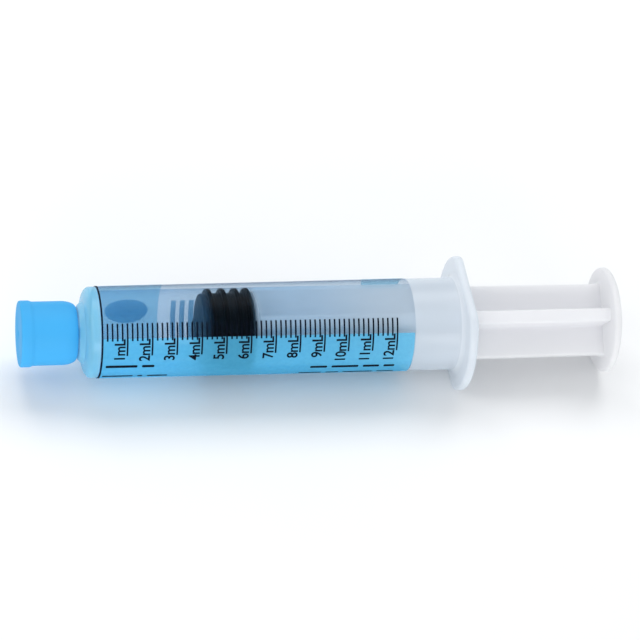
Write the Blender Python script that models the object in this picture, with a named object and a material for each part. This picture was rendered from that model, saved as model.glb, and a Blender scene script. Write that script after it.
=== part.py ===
"""A 12 mL oral syringe, lying on the flat of its finger flange.

The syringe's axis runs along X at AXIS_HEIGHT, with the tip towards -X and the thumb rest
towards +X. Five pieces come apart: barrel, wrap_label, tip_cap, plunger_stopper and
plunger_rod. The cap is on the tip, and the plunger is drawn to between 4 and 5 mL.

Every round piece is an outline of (x, radius) points turned about the axis.
"""

from math import cos, pi, radians, sin

import bmesh
import bpy

MM = 0.001

# Facets round the axis. All turned pieces share them, so that their facets line up.
SIDES = 40
SHARP_ANGLE = radians(35)

# Whole syringe
LENGTH = 119.2 * MM
AXIS_HEIGHT = 10.6 * MM

# Barrel tube and scale. One mL fills 4.85 mm of a 16.2 mm bore. The outside has the mould's draft.
ONE_ML = (10 * MM) ** 3
CAPACITY_ML = 12
BORE_RADIUS = 8.1 * MM
ML_PITCH = ONE_ML / (pi * BORE_RADIUS**2)
ZERO_LINE_X = -44.45 * MM
FULL_LINE_X = ZERO_LINE_X + CAPACITY_ML * ML_PITCH
TUBE_FRONT_X = -45.8 * MM
TUBE_FRONT_RADIUS = 8.9 * MM
TUBE_DRAFT = 0.0042
SHOULDER_BLEND = 1.5 * MM
SHOULDER_CONE_RADIUS = 6.2 * MM
SHOULDER_FRONT_X = -48.3 * MM
SHOULDER_FRONT_RADIUS = 5.2 * MM
BORE_FRONT_X = -45.3 * MM
BORE_FLOOR_X = -47.15 * MM
BORE_FLOOR_RADIUS = 2.6 * MM

# Oral slip tip, inside the cap
TIP_LENGTH = 9.0 * MM
TIP_BASE_RADIUS = 3.0 * MM
TIP_END_RADIUS = 2.75 * MM
TIP_BORE_RADIUS = 1.0 * MM
TIP_ROUNDING = 0.3 * MM

# Finger flange at the rear of the barrel, with a flat on top and one underneath
FLANGE_X = 28.35 * MM
FLANGE_THICKNESS = 1.8 * MM
FLANGE_RADIUS = 13.45 * MM
FLANGE_EDGE = 0.7 * MM
COLLAR_FILLET = 1.2 * MM
MOUTH_CHAMFER = 0.4 * MM

# Low bead inside the barrel that keeps the plunger from being pulled right out
BEAD_FRONT_X = 24.3 * MM
BEAD_LENGTH = 1.2 * MM
BEAD_HEIGHT = 0.25 * MM

# Label film round the tube, with its seam underneath
LABEL_FRONT_X = ZERO_LINE_X - 0.25 * MM
LABEL_REAR_X = FULL_LINE_X + 3.7 * MM
LABEL_GAP = 0.02 * MM
LABEL_THICKNESS = 0.07 * MM
LABEL_SEAM_GAP = radians(3)

# Push-on tip cap
CAP_END_X = -LENGTH / 2
CAP_MOUTH_X = -48.55 * MM
CAP_RIM_RADIUS = 6.5 * MM
CAP_RIM_LENGTH = 1.9 * MM
CAP_RIM_SLOPE_LENGTH = 0.75 * MM
CAP_END_EDGE = 0.4 * MM
CAP_RADIUS = 6.25 * MM
CAP_NECK_LENGTH = 2.9 * MM
CAP_MOUTH_RADIUS = 5.0 * MM
CAP_END_WALL = 1.5 * MM
CAP_SKIRT_BORE = 4.55 * MM
CAP_SLEEVE_RADIUS = 4.0 * MM
CAP_SLEEVE_SETBACK = 0.8 * MM
CAP_TIP_CLEARANCE = 0.06 * MM

# Rubber stopper
STOPPER_RING_X = [x * MM for x in (-22.45, -19.65, -17.05, -14.85)]
STOPPER_RING_WIDTH = 1.4 * MM
STOPPER_CREST_WIDTH = 0.7 * MM
STOPPER_RADIUS = BORE_RADIUS - 0.06 * MM
STOPPER_GROOVE_RADIUS = 7.1 * MM
STOPPER_NOSE_X = -25.4 * MM
STOPPER_NOSE_RADIUS = 2.0 * MM
STOPPER_NOSE_EDGE_X = -24.3 * MM
STOPPER_NOSE_EDGE_RADIUS = 6.2 * MM
STOPPER_NOSE_EDGE = 0.5 * MM
STOPPER_BACK_X = -14.05 * MM
STOPPER_MOUTH_RADIUS = 2.9 * MM
STOPPER_MOUTH_LENGTH = 1.9 * MM
STOPPER_CAVITY_RADIUS = 3.95 * MM
STOPPER_CAVITY_END_X = -20.6 * MM

# Plunger rod: four ribs at right angles, turned a little about the axis
ROD_TURN = radians(33.7)
RIB_THICKNESS = 2.7 * MM
RIB_FRONT_RADIUS = 7.45 * MM
RIB_REAR_RADIUS = 7.2 * MM
ROD_GAP = 0.25 * MM
ROD_DISC_X = STOPPER_BACK_X + ROD_GAP
ROD_DISC_THICKNESS = 1.2 * MM
ROD_DISC_RADIUS = 7.4 * MM
NECK_RADIUS = 2.6 * MM
BARB_RADIUS = 3.6 * MM
BARB_REAR_X = -16.3 * MM
BARB_TIP_X = -20.2 * MM
THUMB_THICKNESS = 1.45 * MM
THUMB_RADIUS = AXIS_HEIGHT
THUMB_EDGE = 0.6 * MM
UNION_OVERLAP = 0.3 * MM

# Piece: colour, roughness and transparency
FINISHES = {
    "barrel": ((0.82, 0.88, 0.92), 0.30, 0.45),
    "wrap_label": ((0.30, 0.62, 0.86), 0.35, 0.55),
    "tip_cap": ((0.08, 0.46, 0.90), 0.35, 1.0),
    "plunger_stopper": ((0.02, 0.02, 0.025), 0.55, 1.0),
    "plunger_rod": ((0.84, 0.85, 0.88), 0.40, 1.0),
}


def arc(x, radius, half_x, half_radius, start, end, steps):
    """Points on an ellipse about (x, radius), from start to end in degrees. 0 is +X, 90 is outwards."""
    points = []
    for i in range(steps + 1):
        angle = radians(start + (end - start) * i / steps)
        points.append((x + half_x * cos(angle), radius + half_radius * sin(angle)))
    return points


def turned(outline, flat_height=None):
    """A closed outline turned about X. With flat_height, it is cut level that far above and below."""
    bm = bmesh.new()
    rings = []
    for x, radius in outline:
        if radius == 0:
            rings.append([bm.verts.new((x, 0, 0))] * SIDES)
            continue
        ring = []
        for i in range(SIDES):
            angle = 2 * pi * i / SIDES
            reach = radius
            if flat_height and radius * abs(cos(angle)) > flat_height:
                reach = flat_height / abs(cos(angle))
            ring.append(bm.verts.new((x, reach * sin(angle), reach * cos(angle))))
        rings.append(ring)
    for first, second in zip(rings, rings[1:] + rings[:1]):
        for i in range(SIDES):
            after = (i + 1) % SIDES
            corners = dict.fromkeys((first[i], first[after], second[after], second[i]))
            if len(corners) > 2:
                bm.faces.new(list(corners))
    bmesh.ops.recalc_face_normals(bm, faces=bm.faces)
    return bm


def new_object(name, bm):
    """An object on the syringe's axis with this mesh, round surfaces shaded smooth."""
    mesh = bpy.data.meshes.new(name)
    bm.to_mesh(mesh)
    bm.free()
    mesh.shade_smooth()
    mesh.set_sharp_from_angle(angle=SHARP_ANGLE)
    obj = bpy.data.objects.new(name, mesh)
    bpy.context.scene.collection.objects.link(obj)
    obj.parent = bpy.data.objects["syringe_axis"]
    return obj


def finish(obj):
    """Gives a piece its own material from FINISHES."""
    colour, roughness, alpha = FINISHES[obj.name]
    material = bpy.data.materials.new(obj.name)
    material.use_nodes = True
    shader = material.node_tree.nodes["Principled BSDF"]
    shader.inputs["Base Color"].default_value = (*colour, 1)
    shader.inputs["Roughness"].default_value = roughness
    shader.inputs["Metallic"].default_value = 0
    shader.inputs["Alpha"].default_value = alpha
    obj.data.materials.append(material)


def join(obj, helper):
    """Unites a hidden helper solid with an object, turned about the axis as the object is."""
    helper.rotation_euler = obj.rotation_euler
    helper.hide_render = True
    helper.display_type = "WIRE"
    union = obj.modifiers.new(helper.name, "BOOLEAN")
    union.operation = "UNION"
    union.solver = "EXACT"
    union.object = helper


def tube_radius(x):
    """The tube's outside, which widens towards the flange."""
    return TUBE_FRONT_RADIUS + TUBE_DRAFT * (x - TUBE_FRONT_X)


def barrel_outline():
    """Tip, shoulder, tube and flange on the outside, then the bore back to the tip's orifice."""
    tip_end_x = SHOULDER_FRONT_X - TIP_LENGTH
    flange_front_x = FLANGE_X - FLANGE_THICKNESS / 2
    flange_rear_x = FLANGE_X + FLANGE_THICKNESS / 2
    fillet_x = flange_front_x - COLLAR_FILLET
    fillet_radius = tube_radius(fillet_x) + COLLAR_FILLET
    outline = [(tip_end_x, TIP_END_RADIUS - TIP_ROUNDING), (tip_end_x + TIP_ROUNDING, TIP_END_RADIUS)]
    outline += [(SHOULDER_FRONT_X, TIP_BASE_RADIUS), (SHOULDER_FRONT_X, SHOULDER_FRONT_RADIUS)]
    outline += arc(TUBE_FRONT_X, SHOULDER_CONE_RADIUS, SHOULDER_BLEND,
                   TUBE_FRONT_RADIUS - SHOULDER_CONE_RADIUS, 180, 90, 5)
    outline += arc(fillet_x, fillet_radius, COLLAR_FILLET, COLLAR_FILLET, -90, 0, 3)
    outline += arc(flange_front_x + FLANGE_EDGE, FLANGE_RADIUS - FLANGE_EDGE, FLANGE_EDGE, FLANGE_EDGE,
                   180, 90, 3)
    outline += arc(flange_rear_x - FLANGE_EDGE, FLANGE_RADIUS - FLANGE_EDGE, FLANGE_EDGE, FLANGE_EDGE,
                   90, 0, 3)
    outline += [(flange_rear_x, BORE_RADIUS + MOUTH_CHAMFER), (flange_rear_x - MOUTH_CHAMFER, BORE_RADIUS)]
    bead_middle_x = BEAD_FRONT_X + BEAD_LENGTH / 2
    outline += [(BEAD_FRONT_X + BEAD_LENGTH, BORE_RADIUS)]
    outline += [(bead_middle_x, BORE_RADIUS - BEAD_HEIGHT)]
    outline += [(BEAD_FRONT_X, BORE_RADIUS)]
    outline += [(BORE_FRONT_X, BORE_RADIUS), (BORE_FLOOR_X, BORE_FLOOR_RADIUS)]
    outline += [(BORE_FLOOR_X, TIP_BORE_RADIUS), (tip_end_x, TIP_BORE_RADIUS)]
    return outline


def make_barrel():
    return new_object("barrel", turned(barrel_outline(), flat_height=AXIS_HEIGHT))


def make_wrap_label():
    """A thin sleeve with a narrow open seam underneath, whose facets follow the tube's."""
    front_inner = tube_radius(LABEL_FRONT_X) + LABEL_GAP
    rear_inner = tube_radius(LABEL_REAR_X) + LABEL_GAP
    half_seam = LABEL_SEAM_GAP / 2
    step = 2 * pi / SIDES
    angles = [pi - half_seam]
    angles += [i * step for i in range(SIDES // 2 - 1, -SIDES // 2, -1)]
    angles += [half_seam - pi]
    bm = bmesh.new()
    sections = []
    for angle in angles:
        # Between two facet corners, the film lies on the facet and not on the circle.
        past_corner = (angle % step) - step / 2
        on_facet = cos(step / 2) / cos(past_corner)
        corners = []
        for x, radius in ((LABEL_FRONT_X, front_inner), (LABEL_FRONT_X, front_inner + LABEL_THICKNESS),
                          (LABEL_REAR_X, rear_inner + LABEL_THICKNESS), (LABEL_REAR_X, rear_inner)):
            reach = radius * on_facet
            corners.append(bm.verts.new((x, reach * sin(angle), reach * cos(angle))))
        sections.append(corners)
    for first, second in zip(sections, sections[1:]):
        for i in range(4):
            after = (i + 1) % 4
            bm.faces.new((first[i], first[after], second[after], second[i]))
    bm.faces.new(sections[0])
    bm.faces.new(sections[-1])
    bmesh.ops.recalc_face_normals(bm, faces=bm.faces)
    return new_object("wrap_label", bm)


def make_tip_cap():
    """A skirt with a rim at its closed end, and a sleeve inside that grips the tip."""
    body_x = CAP_END_X + CAP_RIM_LENGTH
    tip_end_x = SHOULDER_FRONT_X - TIP_LENGTH
    inner_end_x = CAP_END_X + CAP_END_WALL
    sleeve_x = CAP_MOUTH_X - CAP_SLEEVE_SETBACK
    outline = [(CAP_END_X, 0)]
    outline += arc(CAP_END_X + CAP_END_EDGE, CAP_RIM_RADIUS - CAP_END_EDGE, CAP_END_EDGE, CAP_END_EDGE,
                   180, 90, 2)
    outline += [(body_x, CAP_RIM_RADIUS), (body_x + CAP_RIM_SLOPE_LENGTH, CAP_RADIUS)]
    outline += arc(CAP_MOUTH_X - CAP_NECK_LENGTH, CAP_MOUTH_RADIUS, CAP_NECK_LENGTH,
                   CAP_RADIUS - CAP_MOUTH_RADIUS, 90, 0, 4)
    outline += [(CAP_MOUTH_X, CAP_SKIRT_BORE), (inner_end_x, CAP_SKIRT_BORE)]
    outline += [(inner_end_x, CAP_SLEEVE_RADIUS), (sleeve_x, CAP_SLEEVE_RADIUS)]
    outline += [(sleeve_x, TIP_BASE_RADIUS + CAP_TIP_CLEARANCE)]
    outline += [(tip_end_x - CAP_TIP_CLEARANCE, TIP_END_RADIUS + CAP_TIP_CLEARANCE)]
    outline += [(inner_end_x, TIP_END_RADIUS - TIP_ROUNDING), (inner_end_x, 0)]
    return new_object("tip_cap", turned(outline))


def make_plunger_stopper():
    """Blunt conical nose, four sealing rings with grooves between, and the cavity for the rod's barb."""
    foot = STOPPER_RING_WIDTH / 2
    crest = STOPPER_CREST_WIDTH / 2
    outline = [(STOPPER_NOSE_X, 0), (STOPPER_NOSE_X, STOPPER_NOSE_RADIUS)]
    outline += [(STOPPER_NOSE_EDGE_X, STOPPER_NOSE_EDGE_RADIUS)]
    outline += [(STOPPER_NOSE_EDGE_X + STOPPER_NOSE_EDGE, STOPPER_GROOVE_RADIUS)]
    for x in STOPPER_RING_X:
        outline += [(x - foot, STOPPER_GROOVE_RADIUS), (x - crest, STOPPER_RADIUS)]
        outline += [(x + crest, STOPPER_RADIUS), (x + foot, STOPPER_GROOVE_RADIUS)]
    outline += [(STOPPER_BACK_X, STOPPER_GROOVE_RADIUS), (STOPPER_BACK_X, STOPPER_MOUTH_RADIUS)]
    mouth_x = STOPPER_BACK_X - STOPPER_MOUTH_LENGTH
    outline += [(mouth_x, STOPPER_MOUTH_RADIUS), (mouth_x, STOPPER_CAVITY_RADIUS)]
    outline += [(STOPPER_CAVITY_END_X, STOPPER_CAVITY_RADIUS), (STOPPER_CAVITY_END_X, 0)]
    return new_object("plunger_stopper", turned(outline))


def rod_ribs():
    """The cross section's twelve corners, carried from the front disc to the thumb rest."""
    half = RIB_THICKNESS / 2
    front_x = ROD_DISC_X + ROD_DISC_THICKNESS - UNION_OVERLAP
    rear_x = LENGTH / 2 - THUMB_THICKNESS + UNION_OVERLAP
    bm = bmesh.new()
    ends = []
    for x, reach in ((front_x, RIB_FRONT_RADIUS), (rear_x, RIB_REAR_RADIUS)):
        corners = []
        for quarter in range(4):
            angle = quarter * pi / 2
            for across, out in ((-half, reach), (half, reach), (half, half)):
                y = out * cos(angle) - across * sin(angle)
                z = out * sin(angle) + across * cos(angle)
                corners.append(bm.verts.new((x, y, z)))
        ends.append(corners)
    front, rear = ends
    count = len(front)
    for i in range(count):
        after = (i + 1) % count
        bm.faces.new((front[i], front[after], rear[after], rear[i]))
    bm.faces.new(front)
    bm.faces.new(rear)
    bmesh.ops.recalc_face_normals(bm, faces=bm.faces)
    return bm


def make_plunger_rod():
    """Ribs united with the disc and barb at the front and the thumb rest at the rear."""
    rod = new_object("plunger_rod", rod_ribs())
    rod.rotation_euler.x = ROD_TURN
    disc_rear_x = ROD_DISC_X + ROD_DISC_THICKNESS
    head = [(BARB_TIP_X, 0), (BARB_TIP_X, NECK_RADIUS), (BARB_REAR_X, BARB_RADIUS)]
    head += [(BARB_REAR_X, NECK_RADIUS), (ROD_DISC_X, NECK_RADIUS)]
    head += [(ROD_DISC_X, ROD_DISC_RADIUS), (disc_rear_x, ROD_DISC_RADIUS), (disc_rear_x, 0)]
    join(rod, new_object("rod_head", turned(head)))
    rest_front_x = LENGTH / 2 - THUMB_THICKNESS
    edge_radius = THUMB_RADIUS - THUMB_EDGE
    rest = [(rest_front_x, 0)]
    rest += arc(rest_front_x + THUMB_EDGE, edge_radius, THUMB_EDGE, THUMB_EDGE, 180, 90, 3)
    rest += arc(LENGTH / 2 - THUMB_EDGE, edge_radius, THUMB_EDGE, THUMB_EDGE, 90, 0, 3)
    rest += [(LENGTH / 2, 0)]
    join(rod, new_object("rod_thumb_rest", turned(rest)))
    return rod


def main():
    for obj in list(bpy.data.objects):
        bpy.data.objects.remove(obj)
    axis = bpy.data.objects.new("syringe_axis", None)
    axis.location.z = AXIS_HEIGHT
    bpy.context.scene.collection.objects.link(axis)
    for make in (make_barrel, make_wrap_label, make_tip_cap, make_plunger_stopper, make_plunger_rod):
        finish(make())


main()
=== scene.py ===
"""The looks of a 12 mL oral syringe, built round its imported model.

The syringe lies along X with its tip towards -X. Each moulded piece is turned or lofted here at
full smoothness and stands for its CAD node. The printed label is made flat, as a label is, with
x along the syringe and y round it, and is then wrapped onto the barrel.
"""

from math import cos, pi, radians, sin, tan
from typing import NamedTuple

import bmesh
import bpy
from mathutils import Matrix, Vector


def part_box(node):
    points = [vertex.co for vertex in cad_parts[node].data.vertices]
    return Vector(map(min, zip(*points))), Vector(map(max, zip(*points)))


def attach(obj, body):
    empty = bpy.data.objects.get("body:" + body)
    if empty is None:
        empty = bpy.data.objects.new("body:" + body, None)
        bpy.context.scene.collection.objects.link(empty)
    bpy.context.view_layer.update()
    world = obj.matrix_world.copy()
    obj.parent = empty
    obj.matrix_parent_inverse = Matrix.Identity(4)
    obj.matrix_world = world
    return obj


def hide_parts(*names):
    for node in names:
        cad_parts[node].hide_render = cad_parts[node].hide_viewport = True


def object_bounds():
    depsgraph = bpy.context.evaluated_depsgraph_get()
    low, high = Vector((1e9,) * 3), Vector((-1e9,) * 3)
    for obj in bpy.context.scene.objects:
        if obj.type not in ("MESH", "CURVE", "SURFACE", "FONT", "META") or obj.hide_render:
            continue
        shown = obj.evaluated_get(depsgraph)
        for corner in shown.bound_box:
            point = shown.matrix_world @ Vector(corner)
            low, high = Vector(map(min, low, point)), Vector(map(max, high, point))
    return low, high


MM = 0.001

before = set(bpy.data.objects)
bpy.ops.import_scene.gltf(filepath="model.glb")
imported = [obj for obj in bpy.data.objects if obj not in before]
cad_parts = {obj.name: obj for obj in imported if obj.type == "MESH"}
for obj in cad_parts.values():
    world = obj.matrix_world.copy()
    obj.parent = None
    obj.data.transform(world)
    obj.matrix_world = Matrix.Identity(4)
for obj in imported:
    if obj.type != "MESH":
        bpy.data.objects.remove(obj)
cad_low, cad_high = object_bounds()

# ---------------------------------------------------------------------------------------------
# Places and sizes, from the frame
# ---------------------------------------------------------------------------------------------
barrel_low, barrel_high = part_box("barrel")
label_low, label_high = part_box("wrap_label")
cap_low, cap_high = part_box("tip_cap")
stopper_low, stopper_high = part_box("plunger_stopper")
rod_low, rod_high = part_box("plunger_rod")

AXIS_Z = (barrel_low.z + barrel_high.z) / 2
FLAT_HEIGHT = (barrel_high.z - barrel_low.z) / 2
FLANGE_RADIUS = (barrel_high.y - barrel_low.y) / 2
LABEL_RADIUS = (label_high.y - label_low.y) / 2
STOPPER_RADIUS = (stopper_high.y - stopper_low.y) / 2
CAP_RIM_RADIUS = (cap_high.y - cap_low.y) / 2
THUMB_RADIUS = (rod_high.y - rod_low.y) / 2

SIDES = 144
SHARP_ANGLE = radians(32)

# Barrel
LABEL_FILM = 0.07 * MM
LABEL_GAP = 0.02 * MM
BARREL_DRAFT = 0.0042
BORE_RADIUS = 8.1 * MM
TIP_LENGTH = 9.0 * MM
SHOULDER_FRONT_X = barrel_low.x + TIP_LENGTH
TUBE_FRONT_X = SHOULDER_FRONT_X + 2.5 * MM
FLANGE_THICKNESS = 1.8 * MM
FLANGE_EDGE = 0.7 * MM
COLLAR_FILLET = 1.2 * MM
FLAT_CORNER = 60

# Scale: the pitch of 1 mL in a 16.2 mm bore
ML_PITCH = 1000 * MM / (pi * (BORE_RADIUS / MM) ** 2)
FULL_ML = 12
SMALL_TICKS_PER_ML = 5
ZERO_X = -44.45 * MM

# Plunger
ROD_TURN = radians(33.7)
RIB_THICKNESS = 2.7 * MM


# ---------------------------------------------------------------------------------------------
# Shapes
# ---------------------------------------------------------------------------------------------
def around(x, radius, angle):
    """A point round the axis. The angle starts at the top and turns towards the front, -Y."""
    return Vector((x, -radius * sin(angle), AXIS_Z + radius * cos(angle)))


def arc(x, radius, half_x, half_radius, start, end, steps):
    """Points on an ellipse about (x, radius), from start to end in degrees. 0 is +X, 90 is outwards."""
    points = []
    for i in range(steps + 1):
        angle = radians(start + (end - start) * i / steps)
        points.append((x + half_x * cos(angle), radius + half_radius * sin(angle)))
    return points


def barrel_radius(x):
    """The tube is a little wider towards the flange, for the mould."""
    return LABEL_RADIUS - LABEL_FILM - LABEL_GAP + BARREL_DRAFT * (x - label_high.x)


def new_object(name, bm, body):
    """A smooth-shaded piece that rides on a body and takes its finish from a slot."""
    bmesh.ops.recalc_face_normals(bm, faces=bm.faces)
    mesh = bpy.data.meshes.new(name)
    bm.to_mesh(mesh)
    bm.free()
    mesh.shade_smooth()
    mesh.set_sharp_from_angle(angle=SHARP_ANGLE)
    obj = bpy.data.objects.new(name, mesh)
    bpy.context.scene.collection.objects.link(obj)
    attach(obj, body)
    return obj


def turned(outline, reach=None):
    """A closed outline of (x, radius) points turned about the axis.

    reach(radius, angle), if given, returns the radius to use at that angle.
    """
    bm = bmesh.new()
    rings = []
    for x, radius in outline:
        if radius == 0:
            rings.append([bm.verts.new(around(x, 0, 0))] * SIDES)
            continue
        ring = []
        for i in range(SIDES):
            angle = 2 * pi * i / SIDES
            ring.append(bm.verts.new(around(x, reach(radius, angle) if reach else radius, angle)))
        rings.append(ring)
    for first, second in zip(rings, rings[1:] + rings[:1]):
        for i in range(SIDES):
            after = (i + 1) % SIDES
            corners = dict.fromkeys((first[i], first[after], second[after], second[i]))
            if len(corners) > 2:
                bm.faces.new(list(corners))
    return bm


def united(bm, *others):
    """The union of closed meshes as one."""
    collection = bpy.context.scene.collection
    objects = []
    for part in (bm, *others):
        bmesh.ops.recalc_face_normals(part, faces=part.faces)
        mesh = bpy.data.meshes.new("union_part")
        part.to_mesh(mesh)
        part.free()
        objects.append(bpy.data.objects.new("union_part", mesh))
        collection.objects.link(objects[-1])
    base = objects[0]
    for other in objects[1:]:
        union = base.modifiers.new("union", "BOOLEAN")
        union.operation = "UNION"
        union.solver = "EXACT"
        union.object = other
    graph = bpy.context.evaluated_depsgraph_get()
    result = bmesh.new()
    result.from_mesh(base.evaluated_get(graph).to_mesh())
    base.evaluated_get(graph).to_mesh_clear()
    for obj in objects:
        bpy.data.objects.remove(obj)
    return result


# ---------------------------------------------------------------------------------------------
# Materials
# ---------------------------------------------------------------------------------------------
PLASTIC_IOR = 1.49


class Wall(NamedTuple):
    """What a see-through wall is made up of."""
    clear: tuple  # colour of what is seen straight through it
    edge: tuple  # the same at a grazing angle, through more of it
    haze: float  # share of the light that it scatters
    onward: float  # part of the scattered light that goes on through
    white: tuple  # colour of the scattered light


def new_material(name):
    material = bpy.data.materials.new(name)
    material.use_nodes = True
    material.node_tree.nodes.clear()
    return material, material.node_tree


def add(tree, kind, **values):
    """A node with its sockets set by name, spaces written as underscores."""
    node = tree.nodes.new(kind)
    for key, value in values.items():
        node.inputs[key.replace("_", " ")].default_value = value
    return node


def link(tree, source, target):
    tree.links.new(source, target)


def noise(tree, scale, detail=3.0, stretch=(1, 1, 1)):
    """Noise in object space, so that it stays with the piece. Returns its factor socket."""
    place = tree.nodes.new("ShaderNodeTexCoord")
    mapping = tree.nodes.new("ShaderNodeMapping")
    mapping.inputs["Scale"].default_value = stretch
    texture = add(tree, "ShaderNodeTexNoise", Scale=scale, Detail=detail)
    link(tree, place.outputs["Object"], mapping.inputs["Vector"])
    link(tree, mapping.outputs["Vector"], texture.inputs["Vector"])
    return texture.outputs["Fac"]


def spread(tree, socket, low, high):
    """Maps a factor from 0..1 to low..high."""
    node = tree.nodes.new("ShaderNodeMapRange")
    node.inputs["To Min"].default_value = low
    node.inputs["To Max"].default_value = high
    link(tree, socket, node.inputs["Value"])
    return node.outputs["Result"]


def tinted(tree, socket, low, high):
    """A colour between low and high by a factor."""
    ramp = tree.nodes.new("ShaderNodeValToRGB")
    ramp.color_ramp.elements[0].color = (*low, 1)
    ramp.color_ramp.elements[1].color = (*high, 1)
    ramp.color_ramp.elements[0].position = 0.3
    ramp.color_ramp.elements[1].position = 0.7
    link(tree, socket, ramp.inputs["Fac"])
    return ramp.outputs["Color"]


def colour_between(tree, factor, first, second):
    """A colour between two others, each a tuple or a socket."""
    node = tree.nodes.new("ShaderNodeMix")
    node.data_type = "RGBA"
    link(tree, factor, node.inputs[0])
    for socket, colour in ((node.inputs[6], first), (node.inputs[7], second)):
        if isinstance(colour, tuple):
            socket.default_value = (*colour, 1)
        else:
            link(tree, colour, socket)
    return node.outputs[2]


def bumped(tree, socket, strength, distance):
    node = add(tree, "ShaderNodeBump", Strength=strength, Distance=distance)
    link(tree, socket, node.inputs["Height"])
    return node.outputs["Normal"]


def mixed(tree, first, second, factor):
    """A mix of two shader sockets. The factor is a number or a socket."""
    node = tree.nodes.new("ShaderNodeMixShader")
    if isinstance(factor, float):
        node.inputs[0].default_value = factor
    else:
        link(tree, factor, node.inputs[0])
    link(tree, first, node.inputs[1])
    link(tree, second, node.inputs[2])
    return node.outputs["Shader"]


def output(tree, shader):
    node = tree.nodes.new("ShaderNodeOutputMaterial")
    link(tree, shader, node.inputs["Surface"])


def moulded_plastic(name, low, high, roughness, subsurface, onward, grain):
    """Moulded plastic: slight flow variation in colour and gloss, fine grain, some light let through."""
    material, tree = new_material(name)
    shader = add(tree, "ShaderNodeBsdfPrincipled", IOR=PLASTIC_IOR, Subsurface_Weight=subsurface,
                 Subsurface_Scale=3.0 * MM, Specular_IOR_Level=0.15)
    shader.inputs["Subsurface Radius"].default_value = (1.0, 1.0, 1.0)
    flow = noise(tree, 90, 3, (0.35, 1, 1))
    colour = tinted(tree, flow, low, high)
    link(tree, colour, shader.inputs["Base Color"])
    link(tree, spread(tree, noise(tree, 900), roughness - 0.05, roughness + 0.06),
         shader.inputs["Roughness"])
    link(tree, bumped(tree, noise(tree, grain, 2), 0.12, 0.02 * MM), shader.inputs["Normal"])
    glow = tree.nodes.new("ShaderNodeBsdfTranslucent")
    link(tree, colour, glow.inputs["Color"])
    output(tree, mixed(tree, shader.outputs["BSDF"], glow.outputs["BSDF"], onward))
    return material


def grazing(tree, normal, power, straight, slanting):
    """A share that goes from straight, seen square on, to slanting, seen along the surface."""
    weight = add(tree, "ShaderNodeLayerWeight", Blend=0.5)
    if normal:
        link(tree, normal, weight.inputs["Normal"])
    raised = tree.nodes.new("ShaderNodeMath")
    raised.operation = "POWER"
    raised.inputs[1].default_value = power
    link(tree, weight.outputs["Facing"], raised.inputs[0])
    return spread(tree, raised.outputs["Value"], straight, slanting)


def change_along(tree, start, end):
    """A factor that goes from 0 to 1 between two places along the syringe."""
    place = tree.nodes.new("ShaderNodeTexCoord")
    axes = tree.nodes.new("ShaderNodeSeparateXYZ")
    share = tree.nodes.new("ShaderNodeMapRange")
    share.interpolation_type = "SMOOTHSTEP"
    share.inputs["From Min"].default_value = start
    share.inputs["From Max"].default_value = end
    link(tree, place.outputs["Object"], axes.inputs[0])
    link(tree, axes.outputs["X"], share.inputs["Value"])
    return share.outputs["Result"]


def wall(tree, front, rear, share):
    """A wall that lets light straight through, except for a part that it scatters.

    share, if given, goes from 0, where the wall is made up as front, to 1, where it is as rear.
    """
    flow = noise(tree, 60, 3, (0.3, 1, 1))

    def whites(make_up):
        return tinted(tree, flow, make_up.white, tuple(min(1, c * 1.02) for c in make_up.white))

    body = add(tree, "ShaderNodeBsdfPrincipled", IOR=PLASTIC_IOR, Roughness=0.5, Specular_IOR_Level=0.2)
    glow = tree.nodes.new("ShaderNodeBsdfTranslucent")
    straight = add(tree, "ShaderNodeBsdfTransparent", Color=(*front.clear, 1))
    slanting = add(tree, "ShaderNodeBsdfTransparent", Color=(*front.edge, 1))
    colour, haze, onward = whites(front), front.haze, front.onward
    if share:
        colour = colour_between(tree, share, colour, whites(rear))
        link(tree, colour_between(tree, share, front.clear, rear.clear), straight.inputs["Color"])
        link(tree, colour_between(tree, share, front.edge, rear.edge), slanting.inputs["Color"])
        haze = spread(tree, share, front.haze, rear.haze)
        onward = spread(tree, share, front.onward, rear.onward)
    link(tree, colour, body.inputs["Base Color"])
    link(tree, colour, glow.inputs["Color"])
    through = mixed(tree, straight.outputs["BSDF"], slanting.outputs["BSDF"],
                    grazing(tree, None, 3, 0.0, 1.0))
    milky = mixed(tree, body.outputs["BSDF"], glow.outputs["BSDF"], onward)
    return mixed(tree, through, milky, haze)


def see_through(name, front, sheen, roughness, grain, rear=None, change=None):
    """A clear or hazy wall with a glossy sheen, given as (square on, at a grazing angle).

    The wall is made up as front, or goes from front to rear between change, two places along it.
    """
    material, tree = new_material(name)
    share = change_along(tree, *change) if change else None
    layer = wall(tree, front, rear, share)
    normal = bumped(tree, noise(tree, grain, 2), 0.08, 0.02 * MM)
    shine = add(tree, "ShaderNodeBsdfGlossy", Color=(1, 1, 1, 1), Roughness=roughness)
    link(tree, normal, shine.inputs["Normal"])
    output(tree, mixed(tree, layer, shine.outputs["BSDF"], grazing(tree, normal, 5, *sheen)))
    return material


def ink(name, low, high, through, cover, onward=0.35):
    """Printing ink: colour with a fine screen mottle, covering what is behind by cover."""
    material, tree = new_material(name)
    mottle = noise(tree, 1400, 2)
    body = add(tree, "ShaderNodeBsdfPrincipled", IOR=1.45, Roughness=0.5, Specular_IOR_Level=0.1)
    link(tree, tinted(tree, mottle, low, high), body.inputs["Base Color"])
    glow = add(tree, "ShaderNodeBsdfTranslucent", Color=(*through, 1))
    layer = mixed(tree, body.outputs["BSDF"], glow.outputs["BSDF"], onward)
    if cover < 1:
        clear = add(tree, "ShaderNodeBsdfTransparent", Color=(*through, 1))
        share = spread(tree, mottle, cover - 0.03, cover + 0.03)
        layer = mixed(tree, clear.outputs["BSDF"], layer, share)
    output(tree, layer)
    return material


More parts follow.
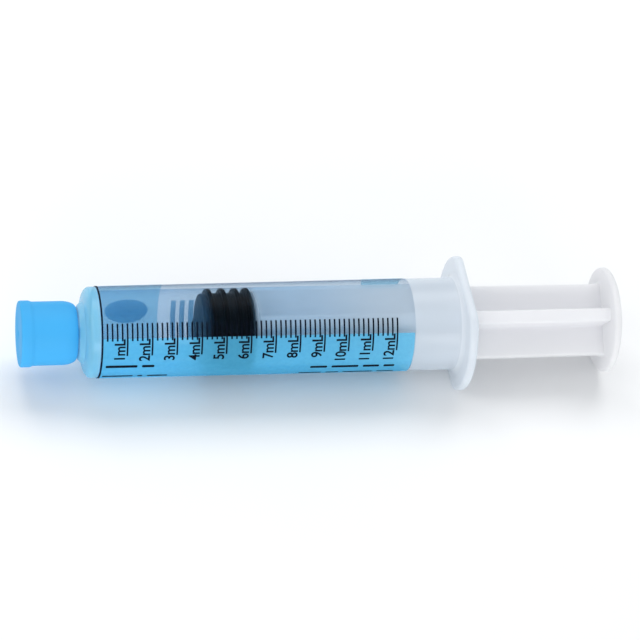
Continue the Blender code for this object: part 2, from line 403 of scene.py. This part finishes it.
def rubber(name):
    """Siliconed black rubber: a soft sheen over a fine mottled surface."""
    material, tree = new_material(name)
    shader = add(tree, "ShaderNodeBsdfPrincipled", IOR=1.5, Specular_IOR_Level=0.03)
    link(tree, tinted(tree, noise(tree, 700), (0.0004, 0.0005, 0.0007), (0.0010, 0.0013, 0.0018)),
         shader.inputs["Base Color"])
    link(tree, spread(tree, noise(tree, 400), 0.28, 0.40), shader.inputs["Roughness"])
    link(tree, bumped(tree, noise(tree, 1800, 2), 0.2, 0.02 * MM), shader.inputs["Normal"])
    output(tree, shader.outputs["BSDF"])
    return material


def plain(name, colour, roughness):
    """The floor: a matt surface with a barely visible mottle."""
    material, tree = new_material(name)
    shader = add(tree, "ShaderNodeBsdfPrincipled", Roughness=roughness, Specular_IOR_Level=0.2)
    link(tree, tinted(tree, noise(tree, 30), colour, tuple(c * 1.01 for c in colour)),
         shader.inputs["Base Color"])
    output(tree, shader.outputs["BSDF"])
    return material


# ---------------------------------------------------------------------------------------------
# Camera, light and floor
# ---------------------------------------------------------------------------------------------
CAMERA_LENS = 160.2
CAMERA_DISTANCE = 564.7 * MM
CAMERA_ELEVATION = radians(48)
CAMERA_TO_TIP = radians(12.22)
CAMERA_ROLL = radians(1.39)
AIM_ALONG = 0.23 * MM
AIM_UP = 1.31 * MM


def make_camera():
    """Looks down on the front of the syringe, from nearer the tip, rolled a little."""
    level = Vector((0, -cos(CAMERA_ELEVATION), sin(CAMERA_ELEVATION)))
    upward = Vector((0, sin(CAMERA_ELEVATION), cos(CAMERA_ELEVATION)))
    along = Vector((1, 0, 0))
    back = cos(CAMERA_TO_TIP) * level - sin(CAMERA_TO_TIP) * along
    right = cos(CAMERA_TO_TIP) * along + sin(CAMERA_TO_TIP) * level
    rolled_right = cos(CAMERA_ROLL) * right - sin(CAMERA_ROLL) * upward
    rolled_up = sin(CAMERA_ROLL) * right + cos(CAMERA_ROLL) * upward
    aim = Vector((0, 0, AXIS_Z)) + AIM_ALONG * along + AIM_UP * upward
    data = bpy.data.cameras.new("camera")
    data.lens = CAMERA_LENS
    data.sensor_width = 36
    data.clip_start = 0.01
    camera = bpy.data.objects.new("camera", data)
    bpy.context.scene.collection.objects.link(camera)
    matrix = camera.matrix_world.copy()
    for row in range(3):
        matrix[row][0] = rolled_right[row]
        matrix[row][1] = rolled_up[row]
        matrix[row][2] = back[row]
        matrix[row][3] = aim[row] + CAMERA_DISTANCE * back[row]
    camera.matrix_world = matrix
    bpy.context.scene.camera = camera


def make_area_light(name, place, size, power):
    data = bpy.data.lights.new(name, "AREA")
    data.shape = "RECTANGLE"
    data.size, data.size_y = size
    data.energy = power
    light = bpy.data.objects.new(name, data)
    light.location = place
    light.rotation_mode = "QUATERNION"
    light.rotation_quaternion = (Vector(place) - Vector((0, 0, AXIS_Z))).to_track_quat("Z", "Y")
    bpy.context.scene.collection.objects.link(light)


def make_studio():
    """Soft white surroundings, a broad key above and behind, and a small front light."""
    world = bpy.data.worlds.new("studio")
    bpy.context.scene.world = world
    world.use_nodes = True
    world.node_tree.nodes["Background"].inputs["Color"].default_value = (0.95, 0.975, 1.0, 1)
    world.node_tree.nodes["Background"].inputs["Strength"].default_value = 0.61
    make_area_light("overhead", (0.05, 0.34, 0.56), (0.7, 0.35), 2.3)
    make_area_light("front", (-0.05, -0.60, 0.12), (0.6, 0.25), 1.75)
    make_area_light("left", (-0.50, -0.10, 0.35), (0.4, 0.4), 0.6)
    scene = bpy.context.scene
    scene.view_settings.view_transform = "Standard"
    scene.cycles.transparent_max_bounces = 32

    bm = bmesh.new()
    bmesh.ops.create_grid(bm, x_segments=1, y_segments=1, size=3)
    mesh = bpy.data.meshes.new("floor")
    bm.to_mesh(mesh)
    bm.free()
    floor = bpy.data.objects.new("floor", mesh)
    floor.location.z = cad_low.z - 0.02 * MM
    floor.data.materials.append(plain("pale_floor", (0.92, 0.925, 0.93), 0.6))
    bpy.context.scene.collection.objects.link(floor)


# ---------------------------------------------------------------------------------------------
# Barrel
# ---------------------------------------------------------------------------------------------
def flange_reach(radius, angle):
    """Cuts the flange's round rim with its two flats, and keeps its rounded edge along them."""
    inset = max(FLANGE_RADIUS - radius, 0)
    if radius < FLAT_HEIGHT - FLANGE_EDGE:
        return radius
    level = FLAT_HEIGHT / max(abs(cos(angle)), 1e-6)
    rim = (FLANGE_RADIUS ** -FLAT_CORNER + level ** -FLAT_CORNER) ** (-1 / FLAT_CORNER)
    return min(radius, rim - min(inset, FLANGE_EDGE))


def make_barrel():
    """Tip, shoulder, tube, collar and flange outside, and the bore with its retaining bead inside."""
    shoulder_cone_radius = 6.2 * MM
    shoulder_blend = 1.5 * MM
    shoulder_front_radius = 5.2 * MM
    front_radius = barrel_radius(TUBE_FRONT_X)
    tip_end_x = barrel_low.x
    flange_rear_x = barrel_high.x
    flange_front_x = flange_rear_x - FLANGE_THICKNESS
    tip_radius, tip_round = 2.75 * MM, 0.3 * MM
    tip_root_radius, tip_root = 3.5 * MM, 0.5 * MM
    outline = arc(tip_end_x + tip_round, tip_radius - tip_round, tip_round, tip_round, 180, 90, 5)
    outline += arc(SHOULDER_FRONT_X - tip_root, tip_root_radius, tip_root, tip_root, -90, 0, 6)
    corner = 0.4 * MM
    outline += arc(SHOULDER_FRONT_X + corner, shoulder_front_radius - corner * tan(radians(22.5)), corner,
                   corner, 180, 135, 4)
    outline += arc(TUBE_FRONT_X, shoulder_cone_radius, shoulder_blend,
                   front_radius - shoulder_cone_radius, 180, 90, 18)
    outline += [(x, barrel_radius(x)) for x in (label_low.x, label_high.x)]
    rear_radius = barrel_radius(flange_front_x - COLLAR_FILLET)
    outline += arc(flange_front_x - COLLAR_FILLET, rear_radius + COLLAR_FILLET, COLLAR_FILLET,
                   COLLAR_FILLET, -90, 0, 10)
    edge_radius = FLANGE_RADIUS - FLANGE_EDGE
    outline += arc(flange_front_x + FLANGE_EDGE, edge_radius, FLANGE_EDGE, FLANGE_EDGE, 180, 90, 8)
    outline += arc(flange_rear_x - FLANGE_EDGE, edge_radius, FLANGE_EDGE, FLANGE_EDGE, 90, 0, 8)
    mouth = 0.4 * MM
    outline += arc(flange_rear_x - mouth, BORE_RADIUS + mouth, mouth, mouth, 0, -90, 5)
    bead_x, bead_half, bead_height = 24.9 * MM, 0.6 * MM, 0.25 * MM
    for i in range(9):
        share = i / 8
        outline.append((bead_x + bead_half * (1 - 2 * share),
                        BORE_RADIUS - bead_height * sin(pi * share)))
    bore_front_x, floor_x, floor_radius = -45.3 * MM, -47.15 * MM, 2.6 * MM
    outlet_radius, outlet_edge = 1.0 * MM, 0.2 * MM
    outline += [(label_high.x, BORE_RADIUS), (label_low.x, BORE_RADIUS)]
    outline += [(bore_front_x - 0.05 * MM, BORE_RADIUS - 0.3 * MM)]
    outline += [(floor_x, floor_radius), (floor_x, outlet_radius + outlet_edge)]
    outline += [(floor_x - outlet_edge, outlet_radius), (tip_end_x, outlet_radius)]
    piece = new_object("barrel_shell", turned(outline, flange_reach), "barrel")
    frosted = Wall(clear=(0.96, 0.975, 0.99), edge=(0.88, 0.92, 0.96), haze=0.66, onward=0.5,
                   white=(0.82, 0.87, 0.92))
    # Painted light: this blue scattered colour, on the tip and shoulder in front of the label, stands for
    # blue light from the cap and the label.
    shoulder_painted_blue_light = Wall(clear=(0.97, 0.985, 1.0), edge=(0.90, 0.93, 0.97), haze=0.70, onward=0.5,
                    white=(0.32, 0.80, 1.0))
    flange_wall = Wall(clear=(0.97, 0.985, 1.0), edge=(0.90, 0.93, 0.97), haze=0.76, onward=0.45,
                       white=(0.86, 0.90, 0.94))
    bonded_wall = Wall(clear=(0.94, 0.965, 0.98), edge=(0.25, 0.36, 0.47), haze=0.0, onward=1.0,
                       white=(0.80, 0.90, 0.97))
    siliconed = Wall(clear=(0.93, 0.95, 0.965), edge=(0.80, 0.86, 0.92), haze=0.305, onward=1.0,
                     white=(0.42, 0.72, 0.94))
    frosted_bore = Wall(clear=(0.97, 0.98, 0.99), edge=(0.90, 0.93, 0.97), haze=0.60, onward=0.6,
                        white=(0.84, 0.89, 0.93))
    # The shoulder and the tip are painted light blue, a painted glow that stands for light from the cap
    # and the label. The bore is hazier towards the flange.
    shoulder_change = (label_low.x - 1.0 * MM, label_low.x + 3.0 * MM)
    bore_change = (-16.0 * MM, label_high.x - 2 * MM)
    outer_sheen, bore_sheen = (0.02, 0.4), (0.0, 0.08)
    for material in (
            see_through("frosted_polypropylene", shoulder_painted_blue_light, outer_sheen, 0.24, 2600,
                        frosted, shoulder_change),
            see_through("bonded_polypropylene", bonded_wall, (0.0, 0.0), 0.12, 900),
            see_through("bore_polypropylene", siliconed, bore_sheen, 0.12, 900,
                        frosted_bore, bore_change),
            see_through("flange_polypropylene", flange_wall, outer_sheen, 0.24, 2600)):
        piece.data.materials.append(material)
    outside, bonded, bore, flange = range(4)
    for face in piece.data.polygons:
        outwards = Vector((0, face.center.y, face.center.z - AXIS_Z))
        if face.normal.dot(outwards) < 0 and face.center.x > SHOULDER_FRONT_X:
            face.material_index = bore
        elif label_low.x < face.center.x < label_high.x:
            face.material_index = bonded
        elif face.center.x > flange_front_x - 0.5 * COLLAR_FILLET:
            face.material_index = flange
        else:
            face.material_index = outside
    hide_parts("barrel")


# ---------------------------------------------------------------------------------------------
# Label, made flat and wrapped
# ---------------------------------------------------------------------------------------------
# Angles round the barrel in degrees, from the top towards the front. The print is a little askew.
LABEL_SKEW = radians(1.2) / (FULL_ML * ML_PITCH)
WINDOW_BACK, WINDOW_FRONT = -52, 50.8
TICK_TOP, TICK_FOOT, LONG_TICK_FOOT = 32.0, 53.9, 73.4
WRAP_STEP = radians(2.5)
INK = 0.012 * MM


def arc_length(degrees):
    return radians(degrees) * LABEL_RADIUS


def wrapped(name, obj, lift, thickness, material, skew=True):
    """Wraps a flat filled curve or text onto the barrel, lifted off it, and makes a closed skin of it."""
    obj.data.extrude = 0
    graph = bpy.context.evaluated_depsgraph_get()
    flat = obj.evaluated_get(graph).to_mesh()
    bm = bmesh.new()
    bm.from_mesh(flat)
    obj.evaluated_get(graph).to_mesh_clear()
    bm.transform(obj.matrix_world)
    bpy.data.objects.remove(obj)
    bmesh.ops.remove_doubles(bm, verts=bm.verts, dist=0.0005 * MM)
    for face in bm.faces:
        if face.normal.z < 0:
            face.normal_flip()
    low = min(v.co.y for v in bm.verts)
    high = max(v.co.y for v in bm.verts)
    step = WRAP_STEP * LABEL_RADIUS
    cut = (low // step + 1) * step
    while cut < high:
        bmesh.ops.bisect_plane(bm, geom=bm.verts[:] + bm.edges[:] + bm.faces[:], dist=1e-7,
                               plane_co=(0, cut, 0), plane_no=(0, 1, 0))
        cut += step
    top = bmesh.ops.extrude_face_region(bm, geom=bm.faces[:])
    for item in top["geom"]:
        if isinstance(item, bmesh.types.BMVert):
            item.co.z += thickness
    for vert in bm.verts:
        x, y, z = vert.co
        angle = y / LABEL_RADIUS + (LABEL_SKEW * (x - ZERO_X) if skew else 0)
        vert.co = around(x, barrel_radius(x) + lift + z, angle)
    piece = new_object(name, bm, "barrel")
    piece.data.materials.append(material)
    return piece


def flat_outlines(outlines):
    """A flat filled curve from closed outlines of (x, y) points. Inner outlines are holes."""
    data = bpy.data.curves.new("flat", "CURVE")
    data.dimensions = "2D"
    data.fill_mode = "BOTH"
    for points in outlines:
        spline = data.splines.new("POLY")
        spline.points.add(len(points) - 1)
        for point, (x, y) in zip(spline.points, points):
            point.co = (x, y, 0, 1)
        spline.use_cyclic_u = True
    obj = bpy.data.objects.new("flat", data)
    bpy.context.scene.collection.objects.link(obj)
    return obj


def bar(x, width, top, foot):
    """A rectangle centred on x, between two angles."""
    half = width / 2
    low, high = arc_length(top), arc_length(foot)
    return [(x - half, low), (x + half, low), (x + half, high), (x - half, high)]


def rounded(left, right, top, foot, corner):
    """A rounded rectangle between two places along the syringe and two angles."""
    low, high = arc_length(top), arc_length(foot)
    points = []
    for x, y, start in ((right - corner, high - corner, 0), (left + corner, high - corner, 90),
                        (left + corner, low + corner, 180), (right - corner, low + corner, 270)):
        for i in range(7):
            angle = radians(start + 15 * i)
            points.append((x + corner * cos(angle), y + corner * sin(angle)))
    return points


def make_label():
    """Film, blue zone, scale and the small print, which is only bars."""
    seam = 1.5
    film = flat_outlines([bar((label_low.x + label_high.x) / 2, label_high.x - label_low.x,
                              seam - 180, 180 - seam)])
    clear_film = Wall(clear=(0.955, 0.97, 0.985), edge=(0.88, 0.92, 0.96), haze=0.0, onward=0.5,
                      white=(0.9, 0.95, 1.0))
    piece = wrapped("label_film", film, LABEL_GAP, LABEL_FILM,
                    see_through("clear_film", clear_film, (0.0015, 0.20), 0.24, 260), skew=False)
    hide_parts("wrap_label")

    ink_lift = LABEL_GAP + LABEL_FILM + 0.004 * MM
    print_lift = ink_lift + INK + 0.004 * MM
    edge = 0.15 * MM
    left, right = label_low.x + edge, label_high.x - edge
    blue = ink("blue_ink", (0.13, 0.63, 1.0), (0.14, 0.65, 1.0), (0.82, 0.98, 1.0), 0.35, 0.20)
    # Painted light: the far side's ink is a lighter, more see-through copy of the front blue print,
    # standing for light that comes through the label from behind.
    painted_backlight_blue = ink("painted_backlight_blue_ink", (0.52, 0.88, 1.0), (0.54, 0.90, 1.0), (0.80, 0.96, 1.0), 0.46, 0.60)
    far_left, far_right, far_foot = -31.0 * MM, 9.0 * MM, WINDOW_BACK - 105
    zone = [(left, arc_length(WINDOW_FRONT)), (right, arc_length(WINDOW_FRONT)),
            (right, arc_length(180 - seam)), (left, arc_length(180 - seam))]
    wrapped("label_blue_front", flat_outlines([zone]), ink_lift, INK, blue)
    low, back, foot = arc_length(seam - 178), arc_length(WINDOW_BACK), arc_length(far_foot)
    behind = [(left, low), (right, low), (right, back), (far_right, back), (far_right + 3 * MM, foot),
              (far_left, foot), (far_left, back), (left, back)]
    wrapped("label_blue_back", flat_outlines([behind]), ink_lift, INK, painted_backlight_blue)

    black = ink("black_ink", (0.001, 0.003, 0.010), (0.003, 0.006, 0.016), (0, 0, 0), 1)
    line = bar(ZERO_X, 0.33 * MM, seam - 179, 179 - seam)
    wrapped("scale_zero_line", flat_outlines([line]), print_lift, INK, black, skew=False)
    ticks = []
    for i in range(1, FULL_ML * SMALL_TICKS_PER_ML + 1):
        x = ZERO_X + i * ML_PITCH / SMALL_TICKS_PER_ML
        whole = i % SMALL_TICKS_PER_ML == 0
        ticks.append(bar(x, 0.32 * MM, TICK_TOP, LONG_TICK_FOOT if whole else TICK_FOOT))
    wrapped("scale_ticks", flat_outlines(ticks), print_lift, INK, black)
    for number in range(1, FULL_ML + 1):
        make_number(number, print_lift, black)
    make_small_print(print_lift, black)
    make_back_print(print_lift)


def make_number(number, lift, material):
    """A number of mL beside its long tick, read with the tip to the left of the hand."""
    data = bpy.data.curves.new("number", "FONT")
    data.body = f"{number}mL"
    data.size = 2.95 * MM
    data.space_character = 0.95
    data.offset = 0.055 * MM
    data.align_x = "RIGHT"
    obj = bpy.data.objects.new("number", data)
    bpy.context.scene.collection.objects.link(obj)
    obj.rotation_euler.z = pi / 2
    obj.scale = (-0.965, 1.0, 1.0)
    obj.location = (ZERO_X + number * ML_PITCH - 0.45 * MM, arc_length(TICK_FOOT - 2.3), 0)
    bpy.context.view_layer.update()
    wrapped(f"scale_number_{number}", obj, lift, INK, material)


def make_small_print(lift, material):
    """Lines of words as plain bars, where a label has its small print."""
    lines = (
        (-43.6 * MM, 90.5, 0.7 * MM, (6.2, 2.4)),
        (-43.9 * MM, 115.0, 0.8 * MM, (6.0, 1.0, 4.0)),
        (-3.0 * MM, 100.0, 0.75 * MM, (3.4, 5.4, 3.3, 2.2)),
        (-4.8 * MM, 119.0, 0.8 * MM, (4.5, 2.6, 6.0, 3.4)),
    )
    gap = 0.9 * MM
    outlines = []
    for start, angle, height, words in lines:
        x = start
        for length in words:
            half = height / LABEL_RADIUS * 180 / pi / 2
            outlines.append(rounded(x, x + length * MM, angle - half, angle + half, 0.25 * MM))
            x += length * MM + gap
    wrapped("small_print", flat_outlines(outlines), lift, INK, material)


def make_back_print(lift):
    """A plain tag and three bars on the far side, seen through the window."""
    grey = ink("grey_blue_ink", (0.24, 0.46, 0.62), (0.25, 0.48, 0.64), (0.50, 0.70, 0.82), 0.5, 0.5)
    tag = [(-37.3 * MM + 4.3 * MM * cos(a), arc_length(-111) + 2.7 * MM * sin(a))
           for a in (2 * pi * i / 48 for i in range(48))]
    bars = [rounded(x * MM, (x + 1.0) * MM, -150, -98, 0.2 * MM) for x in (-28.4, -26.6, -24.8)]
    wrapped("back_tag", flat_outlines([tag]), lift, INK, grey)
    wrapped("back_bars", flat_outlines(bars), lift, INK, grey)


# ---------------------------------------------------------------------------------------------
# Cap, stopper and rod
# ---------------------------------------------------------------------------------------------
def make_cap():
    """Rimmed skirt outside, and the sleeve that grips the tip inside."""
    end_x, mouth_x = cap_low.x, cap_high.x
    rim_height = 0.25 * MM
    radius = CAP_RIM_RADIUS - rim_height
    edge = 0.4 * MM
    rim_x = end_x + 1.9 * MM
    neck_length = 2.9 * MM
    mouth_radius = 5.0 * MM
    gate = 0.15 * MM
    outline = [(end_x + gate, 0), (end_x + gate, 0.5 * MM), (end_x, 0.8 * MM)]
    outline += arc(end_x + edge, CAP_RIM_RADIUS - edge, edge, edge, 180, 90, 8)
    for i in range(9):
        share = i / 8
        outline.append((rim_x - 0.1 * MM + 0.95 * MM * share,
                        radius + rim_height * (1 + cos(pi * share)) / 2))
    outline += arc(mouth_x - neck_length, mouth_radius, neck_length, radius - mouth_radius, 90, 0, 12)
    inner_end_x = end_x + 1.5 * MM
    skirt_bore, sleeve = 4.55 * MM, 4.0 * MM
    sleeve_x = mouth_x - 0.8 * MM
    sleeve_mouth, sleeve_seat, sleeve_floor = 3.06 * MM, 2.81 * MM, 2.45 * MM
    outline += [(mouth_x, skirt_bore), (inner_end_x, skirt_bore), (inner_end_x, sleeve)]
    outline += [(sleeve_x, sleeve), (sleeve_x, sleeve_mouth)]
    outline += [(barrel_low.x - 0.06 * MM, sleeve_seat), (inner_end_x, sleeve_floor), (inner_end_x, 0)]
    piece = new_object("cap_shell", turned(outline), "cap")
    piece.data.materials.append(moulded_plastic(
        "sky_blue_plastic", (0.060, 0.435, 0.86), (0.066, 0.450, 0.88),
        roughness=0.55, subsurface=0.1, onward=0.08, grain=1500))
    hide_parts("tip_cap")


def make_stopper():
    """Blunt conical nose, four rounded sealing rings and the cavity for the rod's barb."""
    rings = [x * MM for x in (-22.45, -19.65, -17.05, -14.85)]
    groove = 7.1 * MM
    half, crest, foot = 0.5 * MM, 0.4 * MM, 0.2 * MM
    nose_x, back_x = stopper_low.x, stopper_high.x
    nose_depth, nose_edge, nose_edge_height = 1.6 * MM, 0.4 * MM, 0.8 * MM
    outline = [(nose_x, 0)]
    outline += arc(nose_x + 0.3 * MM, 1.75 * MM, 0.3 * MM, 0.3 * MM, 180, 105, 4)
    outline += arc(nose_x + nose_depth, groove - nose_edge_height, nose_edge, nose_edge_height,
                   180, 90, 7)
    for x in rings:
        outline += arc(x - half - foot, groove + foot, foot, foot, 270, 360, 4)
        outline += arc(x - half + crest, STOPPER_RADIUS - crest, crest, crest, 180, 90, 6)
        outline += arc(x + half - crest, STOPPER_RADIUS - crest, crest, crest, 90, 0, 6)
        outline += arc(x + half + foot, groove + foot, foot, foot, 180, 270, 4)
    outline += [(back_x, groove - 0.1 * MM)]
    lip_x, lip_radius = back_x - 1.9 * MM, 2.9 * MM
    cavity_end_x, cavity_radius = -20.6 * MM, 3.95 * MM
    outline += [(back_x, lip_radius), (lip_x, lip_radius), (lip_x, cavity_radius)]
    outline += [(cavity_end_x, cavity_radius), (cavity_end_x, 0)]
    piece = new_object("stopper_rubber_body", turned(outline), "stopper")
    piece.data.materials.append(rubber("black_rubber"))
    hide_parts("plunger_stopper")


def rib_section(x, reach):
    """The rod's cross section at x: four ribs with rounded edges and filleted roots."""
    half = RIB_THICKNESS / 2
    edge, root = 0.4 * MM, 0.7 * MM
    points = []
    for quarter in range(4):
        turn = ROD_TURN + quarter * pi / 2
        corner = [(-half + edge - edge * cos(radians(a)), reach - edge + edge * sin(radians(a)))
                  for a in range(0, 91, 18)]
        corner += [(half - edge + edge * sin(radians(a)), reach - edge + edge * cos(radians(a)))
                   for a in range(0, 91, 18)]
        corner += [(half + root - root * cos(radians(a)), half + root - root * sin(radians(a)))
                   for a in range(0, 91, 18)]
        for across, out in corner:
            y = -out * sin(turn) - across * cos(turn)
            z = out * cos(turn) - across * sin(turn)
            points.append(Vector((x, y, AXIS_Z + z)))
    return points


def make_rod():
    """Lofted ribs, front disc with its barb, and the thumb rest, in one piece."""
    disc_x, disc_thickness, disc_radius = stopper_high.x + 0.25 * MM, 1.2 * MM, 7.4 * MM
    disc_edge = 0.25 * MM
    rest_x = rod_high.x - 1.45 * MM
    front_x = disc_x + disc_thickness - 0.3 * MM
    stations = [(front_x, 7.45 * MM), (rest_x - 2.2 * MM, 7.21 * MM)]
    stations += [(rest_x - 1.2 * MM, 7.22 * MM), (rest_x - 0.6 * MM, 7.30 * MM)]
    stations += [(rest_x - 0.2 * MM, 7.48 * MM), (rest_x + 0.3 * MM, 7.9 * MM)]
    bm = bmesh.new()
    sections = [[bm.verts.new(p) for p in rib_section(x, reach)] for x, reach in stations]
    count = len(sections[0])
    for first, second in zip(sections, sections[1:]):
        for i in range(count):
            after = (i + 1) % count
            bm.faces.new((first[i], first[after], second[after], second[i]))
    bm.faces.new(sections[0])
    bm.faces.new(sections[-1])

    neck, barb = 2.6 * MM, 3.6 * MM
    barb_tip_x, barb_rear_x = rod_low.x, -16.3 * MM
    head = [(barb_tip_x, 0), (barb_tip_x, neck - 0.2 * MM), (barb_tip_x + 0.2 * MM, neck)]
    head += [(barb_rear_x, barb), (barb_rear_x, neck), (disc_x, neck)]
    rim = disc_radius - disc_edge
    head += arc(disc_x + disc_edge, rim, disc_edge, disc_edge, 180, 90, 5)
    head += arc(disc_x + disc_thickness - disc_edge, rim, disc_edge, disc_edge, 90, 0, 5)
    head += [(disc_x + disc_thickness, 0)]
    edge = 0.6 * MM
    rest = [(rest_x, 0)]
    rest += arc(rest_x + edge, THUMB_RADIUS - edge, edge, edge, 180, 90, 8)
    rest += arc(rod_high.x - edge, THUMB_RADIUS - edge, edge, edge, 90, 0, 8)
    gate = 0.15 * MM
    rest += [(rod_high.x, 1.2 * MM), (rod_high.x - gate, 0.9 * MM), (rod_high.x - gate, 0)]
    piece = new_object("rod_body", united(bm, turned(head), turned(rest)), "rod")
    piece.data.materials.append(moulded_plastic(
        "white_polypropylene", (0.85, 0.85, 0.87), (0.88, 0.88, 0.895),
        roughness=0.42, subsurface=0.9, onward=0.3, grain=1300))
    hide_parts("plunger_rod")


make_camera()
make_studio()
make_barrel()
make_label()
make_cap()
make_stopper()
make_rod()
